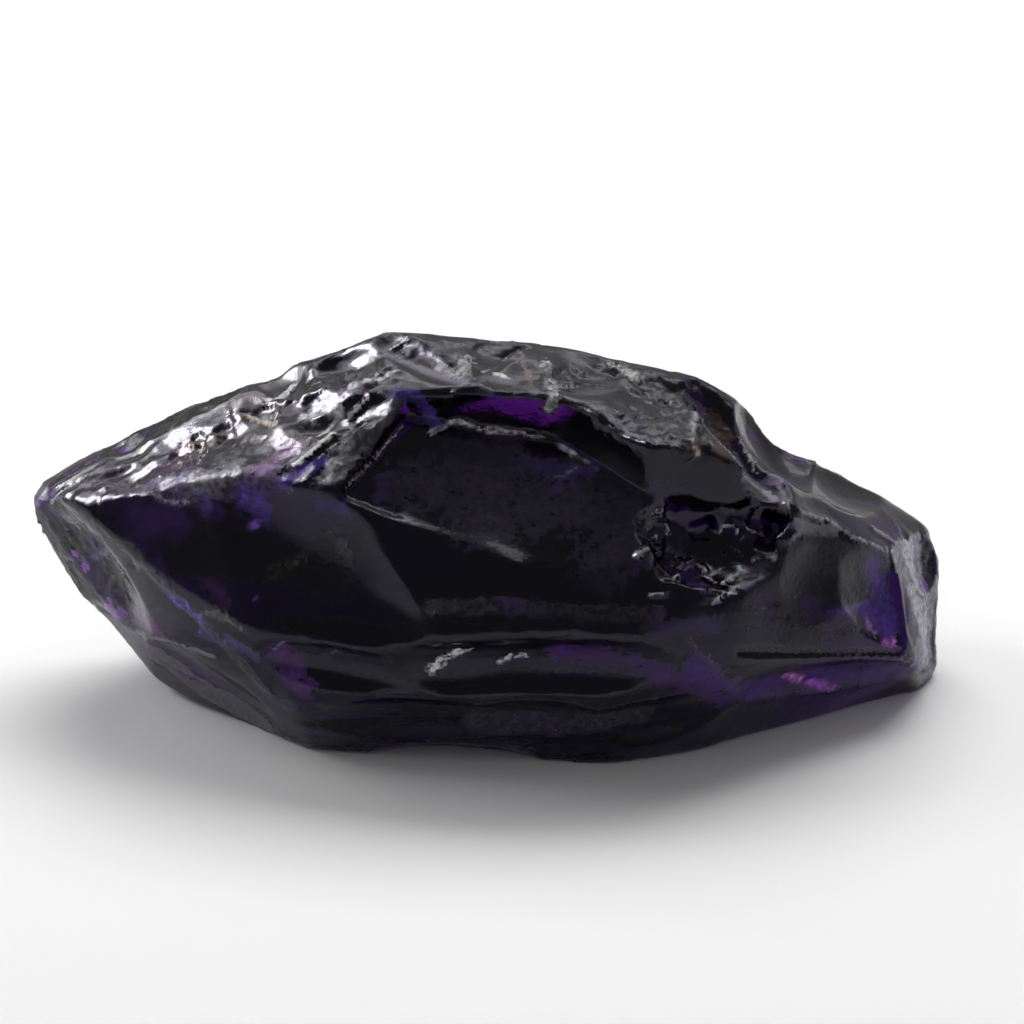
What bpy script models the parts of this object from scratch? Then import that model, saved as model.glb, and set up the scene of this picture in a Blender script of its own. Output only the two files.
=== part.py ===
"""A rough violet gemstone: one broken, glassy solid, 61 mm long, lying on its flat foot.

The blank is the convex hull of the stone's outermost corners. Notches leave flat faces and steps in it,
and flakes struck from it leave bowls. Long edges are divided last, so that the whole skin can be warped a
little and no fracture face stays dead flat.
"""

import math

import bmesh
import bpy
from mathutils import Matrix, Vector, noise
from mathutils.bvhtree import BVHTree

MM = 0.001

# The corners of the blank in millimetres, each ridge from the left tip to the right end. X runs along the
# stone, -Y is its front, and Z = 0 is the foot.
CREST = [
    (-30.3, 3, 13.5), (-29.4, 4.2, 14.4), (-17.4, 4.8, 20.6), (-6.6, 4, 25.3), (3.1, 3.8, 24.4),
    (13.7, 3, 22.5), (27.5, 5, 12), (30.2, 6.5, 9.9),
]
SHOULDER = [
    (-6.8, -2.6, 23.2), (1.1, -3, 24), (3.9, -4, 23.5), (7.4, -6.8, 22.4), (10.2, -8, 21.8),
    (13.7, -8, 20.9), (16.6, -7, 19.4), (26.5, -0.3, 11.5),
]
BROW = [
    (-26.6, -1, 15.4), (-15.4, -5.6, 18.8), (-8.6, -7.8, 19.2),
]
LIP = [
    (-15.2, -9.2, 10), (-3.4, -12.3, 11), (4.8, -12.5, 11.2), (9.9, -12.2, 10.9), (13.6, -10.8, 12.4),
    (16.6, -10.4, 8.2), (28.3, -3, 4.9),
]
KEEL = [
    (-12.2, -9.4, 5), (-2.1, -11.6, 6.3), (7.4, -12, 6.6), (15.4, -9.4, 4.8),
]
LEFT_END = [
    (-30.4, 3.6, 12.2), (-29.6, 5, 8.4), (-27.6, 4, 5), (-22.4, -2, 5.6), (-22.3, 1, 0.8),
]
RIGHT_END = [
    (31, 5.4, 8), (31.2, 4.6, 2.4), (31.2, 3.4, 0.8),
]
FOOT = [
    (-16.3, -3.4, -0.5), (-11.4, -6.8, -0.5), (-2, -8, -0.5), (7.6, -8.8, -0.5), (14, -6.4, -0.5),
    (29.6, 1.6, -0.5), (29, 6, -0.5), (12, 9.5, -0.5), (-4, 10, -0.5), (-16, 6, -0.5),
]
BACK = [
    (-27.5, 8.5, 10), (-22, 8.8, 4), (-14, 11.5, 14.5), (-2, 13.6, 16.5), (9, 13, 15), (28, 10.5, 7.5),
    (29.5, 9.5, 3), (-8, 13.4, 7), (6, 13.8, 6), (18, 12.6, 5),
]

# Each notch is the hull of its corners: the inner ones lie on the new faces, and the outer ones stand off
# the stone.
NOTCHES = {
    "mid_face": [
        (-5.2, -1.6, 21.7), (1.1, -1.6, 20.6), (4.6, -2.6, 20.2), (10.5, -6.9, 18.0),
        (9.8, -11.2, 15.1), (3, -10.3, 15.1), (-5.5, -8, 17.4), (-5.2, -4, 30), (1.1, -4.4, 30),
        (4.6, -5.6, 30), (10.5, -7.9, 28), (11.4, -18, 18), (3, -20, 18), (-5.6, -17, 20),
    ],
    "mid_left": [
        (-5.2, -1.6, 21.7), (-9.0, -6.9, 18.3), (-5.5, -8, 17.2), (0, -4, 19.6), (-4.8, -3.4, 30),
        (-9.2, -14, 24), (-5.5, -17, 22), (0, -12, 28),
    ],
    "under_brow": [
        (10.4, -6.9, 18.0), (13.7, -6.4, 16.6), (19.3, -4.2, 14.8), (16.6, -9.0, 12.4),
        (10.4, -10.6, 14.2), (10.4, -7.9, 28), (13.7, -8.2, 28), (19.8, -6, 27), (20.6, -9, 18),
        (17.6, -15, 16), (10.4, -17, 20),
    ],
}

# Bowls whose place and facing the notches set: (centre of the mouth, azimuth, elevation, turn, half length,
# half width, depth). Azimuth 0 looks to the front and 90 to the right; turn spins the long axis, which starts
# level.
SCARS = {
    "pit": ((14.2, -7.4, 14.9), 22, 42, -22, 4.6, 2.6, 1.6),
    "arch": ((-3, -8.4, -0.6), 0, -45, 3, 7, 3.2, 2.0),
    "dip_near": ((15.8, -0.6, 20.6), 50, 50, 80, 6.4, 2.6, 1.7),
}

# Flakes struck square to the blank at its nearest point: (near this point, turn, half length, half width,
# depth).
FLAKES = {
    "brow_left": ((-11.2, -8.3, 14.4), -26, 10.4, 4.8, 1.3),
    "brow_far_left": ((-19.5, -5, 14.2), -34, 6.5, 4, 0.5),
    "front_middle": ((-2.4, -10.2, 14.9), -22, 6, 3, 0.5),
    "lip_recess": ((3.4, -12.3, 8.6), 1, 19, 2.2, 1.1),
    "lip_recess_left": ((-8.6, -10.2, 7.8), -4, 7, 1.9, 0.8),
    "dip_middle": ((19.4, 2, 17.8), -30, 4.2, 4.4, 1.9),
    "dip_far": ((24, 3, 14.4), -26, 4.4, 3.2, 1.1),
    "right_front": ((24.4, -3, 8.6), -10, 5, 3.6, 0.6),
    "right_arc": ((20.6, -4.6, 11.6), 30, 3.4, 2.6, 0.6),
    "right_keel": ((21.8, -5.0, 5.4), -12, 8.6, 2, 0.8),
    "keel_near": ((-5, -10.4, 4.0), 6, 7.4, 2.2, 0.8),
    "keel_middle": ((3.6, -11, 3.8), -4, 6, 2.2, 0.6),
    "keel_far": ((11.4, -10, 4.2), 8, 6, 2.4, 0.7),
    "left_face": ((-25.4, -0.4, 9.6), -56, 6.4, 3.8, 0.6),
    "left_low": ((-24.6, 4, 3), 40, 4.4, 3, 0.7),
    "left_under": ((-18, -4.6, 3), -26, 6, 2.6, 0.4),
    "tip": ((-28.9, 1.2, 14.6), 20, 1.6, 1.1, 0.3),
    "crest_streak": ((-23.4, 2.4, 17.2), 24, 5.8, 1.2, 0.4),
    "left_top": ((-23.2, -0.2, 16.9), 18, 3.8, 1.8, 0.45),
    "brown_a": ((-19.6, -0.4, 18.4), 10, 3.0, 2.2, 0.6),
    "brown_b": ((-16.6, -1.4, 19.2), -30, 2.6, 2.0, 0.6),
    "top_scoop_a": ((-13.4, 2.6, 21.8), 24, 3.0, 2.0, 0.8),
    "top_scoop_b": ((-9.2, 1.8, 23.2), 60, 3.0, 2.2, 0.8),
    "top_scoop_c": ((-14.8, 0, 20.8), -15, 2.4, 1.3, 0.5),
    "top_scoop_d": ((-11.2, -1.2, 21.4), 30, 2.6, 1.9, 0.6),
    "top_scoop_e": ((-13.6, -3.6, 19.8), 12, 3.2, 1.7, 0.5),
    "blade": ((-8.4, -2.6, 21.6), 52, 4.8, 1.3, 0.9),
    "block": ((-6.9, -4.6, 21), 52, 4.4, 1.2, 0.6),
    "crest_bevel": ((-4.6, 1.6, 24.2), -26, 4.8, 1.5, 0.5),
    "crest_valley": ((0.4, 1.8, 24.3), 35, 2.8, 1.6, 0.6),
    "crest_facet": ((2, -0.8, 24), -20, 2.8, 1.8, 0.5),
    "crest_right_a": ((7, 0.2, 23.4), 0, 3.8, 2.9, 0.6),
    "crest_right_b": ((11.2, -1.6, 22.4), -24, 3.8, 2.9, 0.6),
    "crest_right_c": ((9.4, -5, 22), -20, 3.8, 1.8, 0.4),
    "end_a": ((29.8, 3.4, 8), 70, 3, 2.2, 0.6),
    "end_b": ((30.2, 2.6, 4), 86, 3, 2.2, 0.6),
    "back_a": ((-22, 9.6, 9), 24, 8, 6, 1.5),
    "back_b": ((-8, 12.8, 11.4), -12, 9.4, 6, 1.7),
    "back_c": ((6.6, 13.4, 10.4), 12, 9.4, 6, 1.6),
    "back_d": ((21, 11.8, 7.6), -10, 9, 4.8, 1.4),
    "back_e": ((-12, 8.6, 19), 14, 10, 5, 1.5),
    "back_f": ((4.6, 9, 19.8), -8, 9.4, 5, 1.5),
    "back_g": ((18.4, 8.6, 15), -28, 7.4, 5, 1.4),
    "back_h": ((-13, 11, 3.6), 8, 9, 3.4, 1.1),
    "back_i": ((4, 12.8, 3), -4, 9, 3.2, 1.0),
    "back_j": ((19, 11.6, 2.2), 6, 8, 2.8, 0.9),
}

EDGE = 2.5 * MM  # the longest edge left on the skin
HALVINGS = 4
SPECK = 0.06 * MM  # edges shorter than this are closed up
WARPS = ((9, 0.55), (4, 0.2))  # millimetres between the swells of the warped skin, and their height


def facing_of(azimuth, elevation):
    a, e = math.radians(azimuth), math.radians(elevation)
    return Vector((math.sin(a) * math.cos(e), -math.cos(a) * math.cos(e), math.sin(e)))


def solid(name, shell, collection):
    mesh = bpy.data.meshes.new(name)
    shell.to_mesh(mesh)
    shell.free()
    made = bpy.data.objects.new(name, mesh)
    collection.objects.link(made)
    return made


def hull(name, corners, collection):
    shell = bmesh.new()
    for corner in corners:
        shell.verts.new(Vector(corner) * MM)
    made = bmesh.ops.convex_hull(shell, input=shell.verts)
    inside = [part for part in made["geom_interior"] if isinstance(part, bmesh.types.BMVert)]
    bmesh.ops.delete(shell, geom=inside, context="VERTS")
    bmesh.ops.recalc_face_normals(shell, faces=shell.faces)
    return solid(name, shell, collection)


def bowl(name, mouth, facing, turn, half_length, half_width, depth, collection):
    """An ellipsoid that cuts a bowl of this length, width and depth into a surface at mouth."""
    level = Vector((0, 0, 1)).cross(facing).normalized()
    upward = facing.cross(level)
    spin = math.radians(turn)
    along = level * math.cos(spin) + upward * math.sin(spin)
    across = upward * math.cos(spin) - level * math.sin(spin)
    radius = (half_width ** 2 + depth ** 2) / (2 * depth)
    axes = (along * radius * half_length / half_width, across * radius, facing * radius)
    matrix = Matrix([[axis[row] for axis in axes] for row in range(3)]).to_4x4()
    matrix.translation = mouth + facing * (radius - depth)
    longest = max(radius, radius * half_length / half_width)
    chord = 0.8 + 0.25 * half_width
    fineness = max(3, 1 + round(math.log2(longest / chord)))
    shell = bmesh.new()
    bmesh.ops.create_icosphere(shell, subdivisions=fineness, radius=1, matrix=Matrix.Scale(MM, 4) @ matrix)
    return solid(name, shell, collection)


def close_specks(shell):
    """Make the skin all triangles, and close the slivers where cuts nearly meet."""
    bmesh.ops.triangulate(shell, faces=shell.faces)
    bmesh.ops.dissolve_degenerate(shell, edges=shell.edges, dist=SPECK)


def divide_long_edges(shell):
    """Halve the edges longer than EDGE, in rounds, keeping the faces triangles."""
    close_specks(shell)
    for _ in range(HALVINGS):
        long_edges = [edge for edge in shell.edges if edge.calc_length() > EDGE]
        bmesh.ops.subdivide_edges(shell, edges=long_edges, cuts=1)
        bmesh.ops.triangulate(shell, faces=[face for face in shell.faces if len(face.verts) > 3])


def warp(shell):
    """Push the skin about smoothly, each axis by its own stretch of the noise."""
    for vert in shell.verts:
        at = vert.co / MM
        for spacing, height in WARPS:
            for axis in range(3):
                elsewhere = Vector((40 * axis, 0, 0))
                vert.co[axis] += noise.noise(at / spacing + elsewhere) * height * MM


def flatten_foot(shell):
    everything = shell.verts[:] + shell.edges[:] + shell.faces[:]
    cut = bmesh.ops.bisect_plane(
        shell, geom=everything, plane_co=(0, 0, 0), plane_no=(0, 0, 1), clear_inner=True)
    rim = [part for part in cut["geom_cut"] if isinstance(part, bmesh.types.BMEdge)]
    bmesh.ops.contextual_create(shell, geom=rim)


def centre(shell):
    """Move the stone so that the middle of its bounding box stands over the origin."""
    for axis in (0, 1):
        places = [vert.co[axis] for vert in shell.verts]
        middle = (min(places) + max(places)) / 2
        for vert in shell.verts:
            vert.co[axis] -= middle


def violet_glass():
    material = bpy.data.materials.new("violet_stone")
    material.use_nodes = True
    surface = material.node_tree.nodes["Principled BSDF"]
    surface.inputs["Base Color"].default_value = (0.055, 0.03, 0.1, 1)
    surface.inputs["Metallic"].default_value = 0
    surface.inputs["Roughness"].default_value = 0.16
    surface.inputs["IOR"].default_value = 1.6
    return material


def strike(stone, cutters):
    """Cut every cutter out of the stone and keep the carved skin."""
    cut = stone.modifiers.new("scars", "BOOLEAN")
    cut.operation = "DIFFERENCE"
    cut.solver = "EXACT"
    cut.operand_type = "COLLECTION"
    cut.collection = cutters
    carved = bmesh.new()
    carved.from_object(stone, bpy.context.evaluated_depsgraph_get())
    stone.modifiers.remove(cut)
    return carved


def main():
    for old in list(bpy.data.objects):
        bpy.data.objects.remove(old)
    stone_group = bpy.data.collections.new("rough_sapphire")
    cutters = bpy.data.collections.new("cutters")
    bpy.context.scene.collection.children.link(stone_group)
    bpy.context.scene.collection.children.link(cutters)

    corners = CREST + SHOULDER + BROW + LIP + KEEL + LEFT_END + RIGHT_END + FOOT + BACK
    stone = hull("rough_sapphire", corners, stone_group)
    stone.data.materials.append(violet_glass())
    points = [vert.co / MM for vert in stone.data.vertices]
    skin = BVHTree.FromPolygons(points, [face.vertices for face in stone.data.polygons])
    for name, notch in NOTCHES.items():
        hull("cut_" + name, notch, cutters)
    for name, (mouth, azimuth, elevation, *shape) in SCARS.items():
        bowl("cut_" + name, Vector(mouth), facing_of(azimuth, elevation), *shape, cutters)
    for name, (near, *shape) in FLAKES.items():
        mouth, facing, _, _ = skin.find_nearest(Vector(near))
        bowl("cut_" + name, mouth, facing, *shape, cutters)

    carved = strike(stone, cutters)
    for cutter in list(cutters.objects):
        bpy.data.objects.remove(cutter)
    bpy.data.collections.remove(cutters)
    divide_long_edges(carved)
    warp(carved)
    flatten_foot(carved)
    close_specks(carved)
    centre(carved)
    carved.to_mesh(stone.data)
    carved.free()


main()
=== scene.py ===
import math

import bmesh
import bpy
import numpy as np
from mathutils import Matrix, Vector


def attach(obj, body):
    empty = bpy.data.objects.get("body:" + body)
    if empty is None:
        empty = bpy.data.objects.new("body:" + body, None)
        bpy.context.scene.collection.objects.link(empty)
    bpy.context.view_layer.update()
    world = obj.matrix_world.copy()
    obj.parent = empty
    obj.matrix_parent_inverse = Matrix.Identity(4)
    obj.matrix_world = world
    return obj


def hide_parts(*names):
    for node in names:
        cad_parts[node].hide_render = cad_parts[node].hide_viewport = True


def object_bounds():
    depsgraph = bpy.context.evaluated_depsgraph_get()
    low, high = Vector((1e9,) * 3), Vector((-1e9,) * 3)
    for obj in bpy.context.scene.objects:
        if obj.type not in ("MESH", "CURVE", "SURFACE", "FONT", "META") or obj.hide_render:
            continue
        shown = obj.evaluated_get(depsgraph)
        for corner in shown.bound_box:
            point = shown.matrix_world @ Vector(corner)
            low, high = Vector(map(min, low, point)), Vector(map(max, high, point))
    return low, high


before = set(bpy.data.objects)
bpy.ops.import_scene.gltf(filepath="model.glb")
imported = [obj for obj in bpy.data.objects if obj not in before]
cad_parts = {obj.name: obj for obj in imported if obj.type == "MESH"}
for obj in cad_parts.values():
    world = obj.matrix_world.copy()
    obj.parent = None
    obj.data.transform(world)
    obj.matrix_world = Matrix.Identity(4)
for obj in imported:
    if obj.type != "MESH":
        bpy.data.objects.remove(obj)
cad_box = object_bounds()

MM = 0.001
VOXEL = 0.25 * MM  # the spacing of the fine skin's points
CREASE_ANGLE = math.radians(24)  # edges of the solid sharper than this stay sharp

# the stone's glass
IOR = 1.6
MIRROR_TINT = (0.42, 0.4, 0.48, 1)
INNER_VIOLET = (0.5, 0.14, 0.63, 1)
ABSORPTION = 700
BARE_HUE = (0.010, 0.008, 0.016)  # where no mark lies
BARE_ROUGHNESS = 0.14
BARE_BREAKUP = 0.4
WEAR_AND_PAINTED_LIGHT_FROM = 0.3  # how far marks have to cover a point for it to get the marks' material, which shows their scuffs and their painted highlights, glow and shade
CLOUD_VIOLET = (0.03, 0.01, 0.085)

# how fine the materials' noise is, in waves per metre
HAZE, CLOUDS, FLECKS, BUMPS = 260, 210, 2600, 3000

# ---------------------------------------------------------------- noise, in millimetres


def scrambled(cells, seed):
    """A repeatable number from 0 to 1 for each whole-number cell."""
    x, y, z = (cells[..., axis].astype(np.int64) for axis in range(3))
    mixed = (x * 73856093) ^ (y * 19349663) ^ (z * 83492791) ^ (seed * 2654435761)
    mixed &= 0xFFFFFFFF
    mixed = ((mixed >> 16) ^ mixed) * 0x45D9F3B & 0xFFFFFFFF
    mixed = ((mixed >> 16) ^ mixed) * 0x45D9F3B & 0xFFFFFFFF
    return ((mixed >> 16) ^ mixed) / 0xFFFFFFFF


def swell(points, spacing, seed):
    """Smooth noise from -1 to 1."""
    at = points / spacing
    low = np.floor(at)
    part = at - low
    part = part * part * part * (part * (part * 6 - 15) + 10)
    total = np.zeros(len(points))
    for dx in (0, 1):
        for dy in (0, 1):
            for dz in (0, 1):
                corner = scrambled(low + (dx, dy, dz), seed)
                weight = 1.0
                for axis, step in enumerate((dx, dy, dz)):
                    weight = weight * (part[:, axis] if step else 1 - part[:, axis])
                total += corner * weight
    return total * 2 - 1


def chips(points, spacing, seed):
    """The height of flat tilted cells, such as broken grain has, from about -1 to 1."""
    at = points / spacing
    low = np.floor(at)
    nearest = np.full(len(points), 9.0)
    height = np.zeros(len(points))
    for step in np.ndindex(3, 3, 3):
        cell = low + np.array(step) - 1
        seat = np.stack([scrambled(cell, seed + k) for k in (1, 2, 3)], axis=-1)
        lean = np.stack([scrambled(cell, seed + k) for k in (4, 5, 6)], axis=-1) * 2 - 1
        away = at - (cell + seat)
        distance = np.linalg.norm(away, axis=1)
        closer = distance < nearest
        height = np.where(closer, (away * lean).sum(axis=1) * 1.4 + lean[:, 0] * 0.4, height)
        nearest = np.where(closer, distance, nearest)
    return height


def combed(points, direction, stretch):
    """The points squeezed along a direction, so that noise read at them runs in streaks."""
    direction = np.array(direction, float) / np.linalg.norm(direction)
    return points - np.outer(points @ direction, direction) * (1 - 1 / stretch)


def smooth(low, high, value):
    """0 at low, rising evenly to 1 at high."""
    part = np.clip((value - low) / (high - low), 0, 1)
    return part * part * (3 - 2 * part)


def near(points, path, radius):
    """1 on a path of points, falling to 0 at radius."""
    path = [np.array(stop, float) for stop in path]
    best = np.full(len(points), 1e9)
    for a, b in zip(path, path[1:] or path):
        run = b - a
        length = float(run @ run) or 1.0
        share = np.clip((points - a) @ run / length, 0, 1)
        best = np.minimum(best, np.linalg.norm(points - a - share[:, None] * run, axis=1))
    return smooth(0, 1, 1 - best / radius)


# ---------------------------------------------------------------- the fine skin


def even_skin(node):
    """A closed, even mesh of the stone, with its bowls rounded and its ridges kept sharp."""
    mesh = node.data.copy()
    skin = bpy.data.objects.new("rough_sapphire_skin", mesh)
    bpy.context.scene.collection.objects.link(skin)
    shell = bmesh.new()
    shell.from_mesh(mesh)
    bmesh.ops.remove_doubles(shell, verts=shell.verts, dist=1e-6)
    creases = shell.edges.layers.float.new("crease_edge")
    for edge in shell.edges:
        edge[creases] = 1.0 if edge.calc_face_angle(9) > CREASE_ANGLE else 0.0
    shell.to_mesh(mesh)
    shell.free()
    skin.modifiers.new("rounder", "SUBSURF").levels = 2
    even = skin.modifiers.new("even", "REMESH")
    even.mode = "VOXEL"
    even.voxel_size = VOXEL
    graph = bpy.context.evaluated_depsgraph_get()
    done = bpy.data.meshes.new_from_object(skin.evaluated_get(graph))
    skin.modifiers.clear()
    skin.data = done
    bpy.data.meshes.remove(mesh)
    return skin


skin = even_skin(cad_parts["rough_sapphire"])
count = len(skin.data.vertices)


def read(kind):
    """A 3-D value of every point of the skin."""
    values = np.empty(count * 3, dtype=np.float32)
    skin.data.vertices.foreach_get(kind, values)
    return values.reshape(-1, 3).astype(float)


edges = np.empty(len(skin.data.edges) * 2, dtype=np.int32)
skin.data.edges.foreach_get("vertices", edges)
edges = edges.reshape(-1, 2)
valence = np.bincount(edges.ravel(), minlength=count)


def relaxed(values, rounds):
    """Each point's value averaged with its neighbours', that many times."""
    for _ in range(rounds):
        total = np.empty_like(values)
        for axis in range(values.shape[1]):
            column = values[:, axis]
            total[:, axis] = np.bincount(edges[:, 0], column[edges[:, 1]], count)
            total[:, axis] += np.bincount(edges[:, 1], column[edges[:, 0]], count)
        values = (values + total / valence[:, None]) / 2
    return values


# a ridge between the two large front faces, which is rounded but neither chipped nor worn
ROUNDED = [(-9, -7.9, 19), (-7.4, -8.7, 18), (-5.2, -8.9, 17.2), (2.2, -11, 15.6), (4.2, -11.4, 15.3)]
ROUNDED_REACH = 1.5
STEPS_OUT = 0.6  # how far the remesh's small steps are evened out

at = read("co") / MM
normal = read("normal")
soft = relaxed(at, 12)
bulge = ((at - soft) * normal).sum(axis=1)
ridge = smooth(0.03, 0.16, bulge)  # 1 on the convex ridges
broad_ridge = np.clip(relaxed(ridge[:, None], 4)[:, 0] * 1.6, 0, 1)
at += STEPS_OUT * (relaxed(at, 1) - at)
rounded = near(at, ROUNDED, ROUNDED_REACH)
at += (relaxed(at, 20) - at) * (rounded ** 2)[:, None]
ridge = ridge * (1 - rounded)
broad_ridge = broad_ridge * (1 - rounded)
on_foot = smooth(0.5, 0.15, at[:, 2]) * smooth(-0.8, -0.95, normal[:, 2])
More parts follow.
